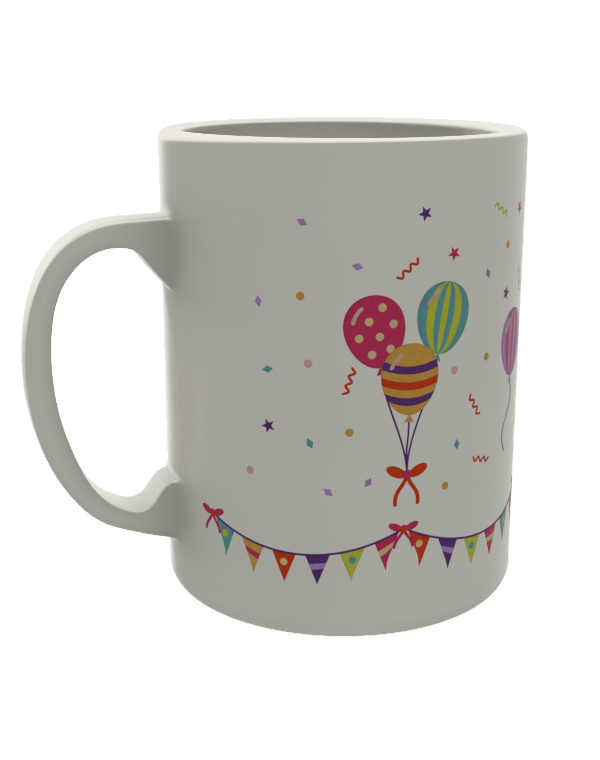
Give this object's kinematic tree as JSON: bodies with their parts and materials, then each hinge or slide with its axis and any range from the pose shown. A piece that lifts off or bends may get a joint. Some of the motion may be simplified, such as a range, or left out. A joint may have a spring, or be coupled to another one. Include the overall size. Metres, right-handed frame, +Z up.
{
  "type": "ceramic mug",
  "caption": "Tall straight-sided glazed ceramic mug with a flat band handle, rounded rim, rounded base and a bare foot ring, printed with a festive pattern.",
  "frame": {"origin": "on the standing plane, under the middle of the bounding box of body and handle", "axes": "+Z up along the body's axis, which stands 16.8 mm towards +X of the origin; the handle points to -X and lies in the plane y = 0"},
  "size_m": [0.1196, 0.086, 0.1112],
  "materials": {
    "white_glaze": "glossy warm white glaze, fired over a white body",
    "bare_foot": "matt bare clay on the foot ring",
    "print_crimson": "crimson ink fused into the glaze",
    "print_orange": "orange red ink fused into the glaze",
    "print_mustard": "mustard ink fused into the glaze",
    "print_chartreuse": "yellow green ink fused into the glaze",
    "print_teal": "soft teal ink fused into the glaze",
    "print_purple": "deep purple ink fused into the glaze",
    "print_lilac": "lilac ink fused into the glaze",
    "print_pink": "pale pink ink fused into the glaze",
    "print_cream": "cream yellow ink fused into the glaze"
  },
  "bodies": {
    "root": {"mug": "white_glaze"}
  },
  "joints": []
}
